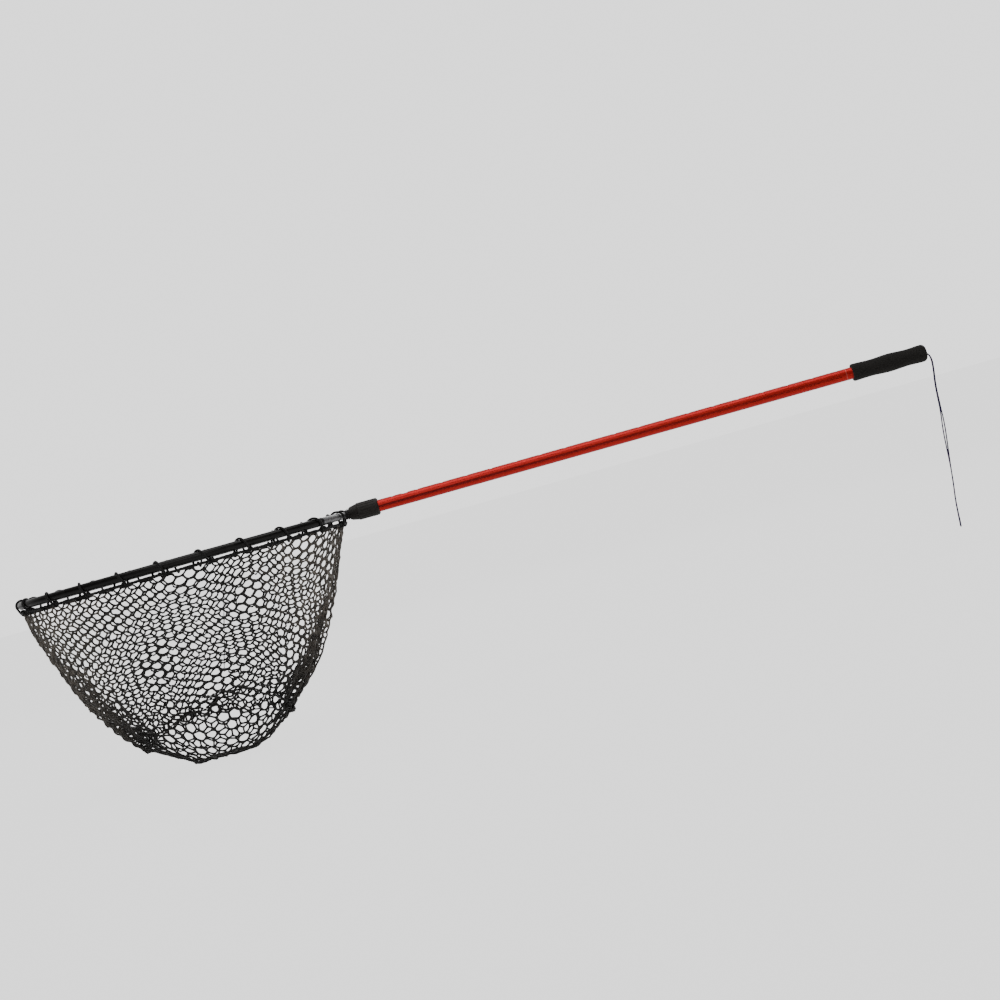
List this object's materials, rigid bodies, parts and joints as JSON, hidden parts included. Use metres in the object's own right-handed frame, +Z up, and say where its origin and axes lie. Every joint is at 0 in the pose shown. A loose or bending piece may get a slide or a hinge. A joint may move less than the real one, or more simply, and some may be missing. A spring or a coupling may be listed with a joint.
{
  "type": "landing net",
  "caption": "Telescoping landing net: oval tube hoop with a deep mesh bag, keyed sliding handle locked by a sprung button, foam grip and cord lanyard.",
  "frame": {"origin": "on the pole's axis at the middle of the foam grip, where a hand holds the net", "axes": "+X runs along the pole out of the butt, the hoop lies in the XY plane at the -X end with the bag hanging below it, +Z up"},
  "size_m": [1.8715, 0.4772, 0.4101],
  "materials": {
    "pole_red": "satin",
    "grip_foam": "matte",
    "plug_plastic": "matte",
    "lanyard_cord": "matte",
    "collar_plastic": "satin",
    "dark_screw": "satin",
    "bearing_plastic": "satin",
    "seal_rubber": "matte",
    "shaft_black": "satin",
    "yoke_casting": "satin",
    "pin_steel": "satin",
    "hoop_black": "gloss",
    "headrope_cord": "matte",
    "lacing_cord": "matte",
    "net_mesh": "satin",
    "spring_steel": "satin",
    "button_steel": "satin"
  },
  "bodies": {
    "handle": {"outer_tube": "pole_red", "foam_grip": "grip_foam", "butt_plug": "plug_plastic", "lanyard": "lanyard_cord", "lanyard_knot": "lanyard_cord", "front_collar": "collar_plastic", "collar_screw": "dark_screw", "guide_bush": "bearing_plastic", "wiper_ring": "seal_rubber"},
    "head": {"inner_tube": "shaft_black", "yoke": "yoke_casting", "yoke_pin": "pin_steel", "neck_rings": "collar_plastic", "arm_rivets": "pin_steel", "hoop_tube": "hoop_black", "headrope": "headrope_cord", "lacing": "lacing_cord", "net_bag": "net_mesh", "button_housing": "bearing_plastic", "housing_pin": "pin_steel", "spring_plug": "bearing_plastic", "button_spring": "spring_steel"},
    "button": {"snap_button": "button_steel"}
  },
  "joints": [
    {"name": "handle_extension", "type": "slide", "parent": "handle", "child": "head", "axis": [-1, 0, 0], "range_m": [0, 0.9144]},
    {"name": "button_press", "type": "slide", "parent": "head", "child": "button", "axis": [0, 0, 1], "range_m": [-0.0024, 0], "stiffness_N_per_m": 700, "springref_m": 0.004, "deforming": ["button_spring"]}
  ]
}
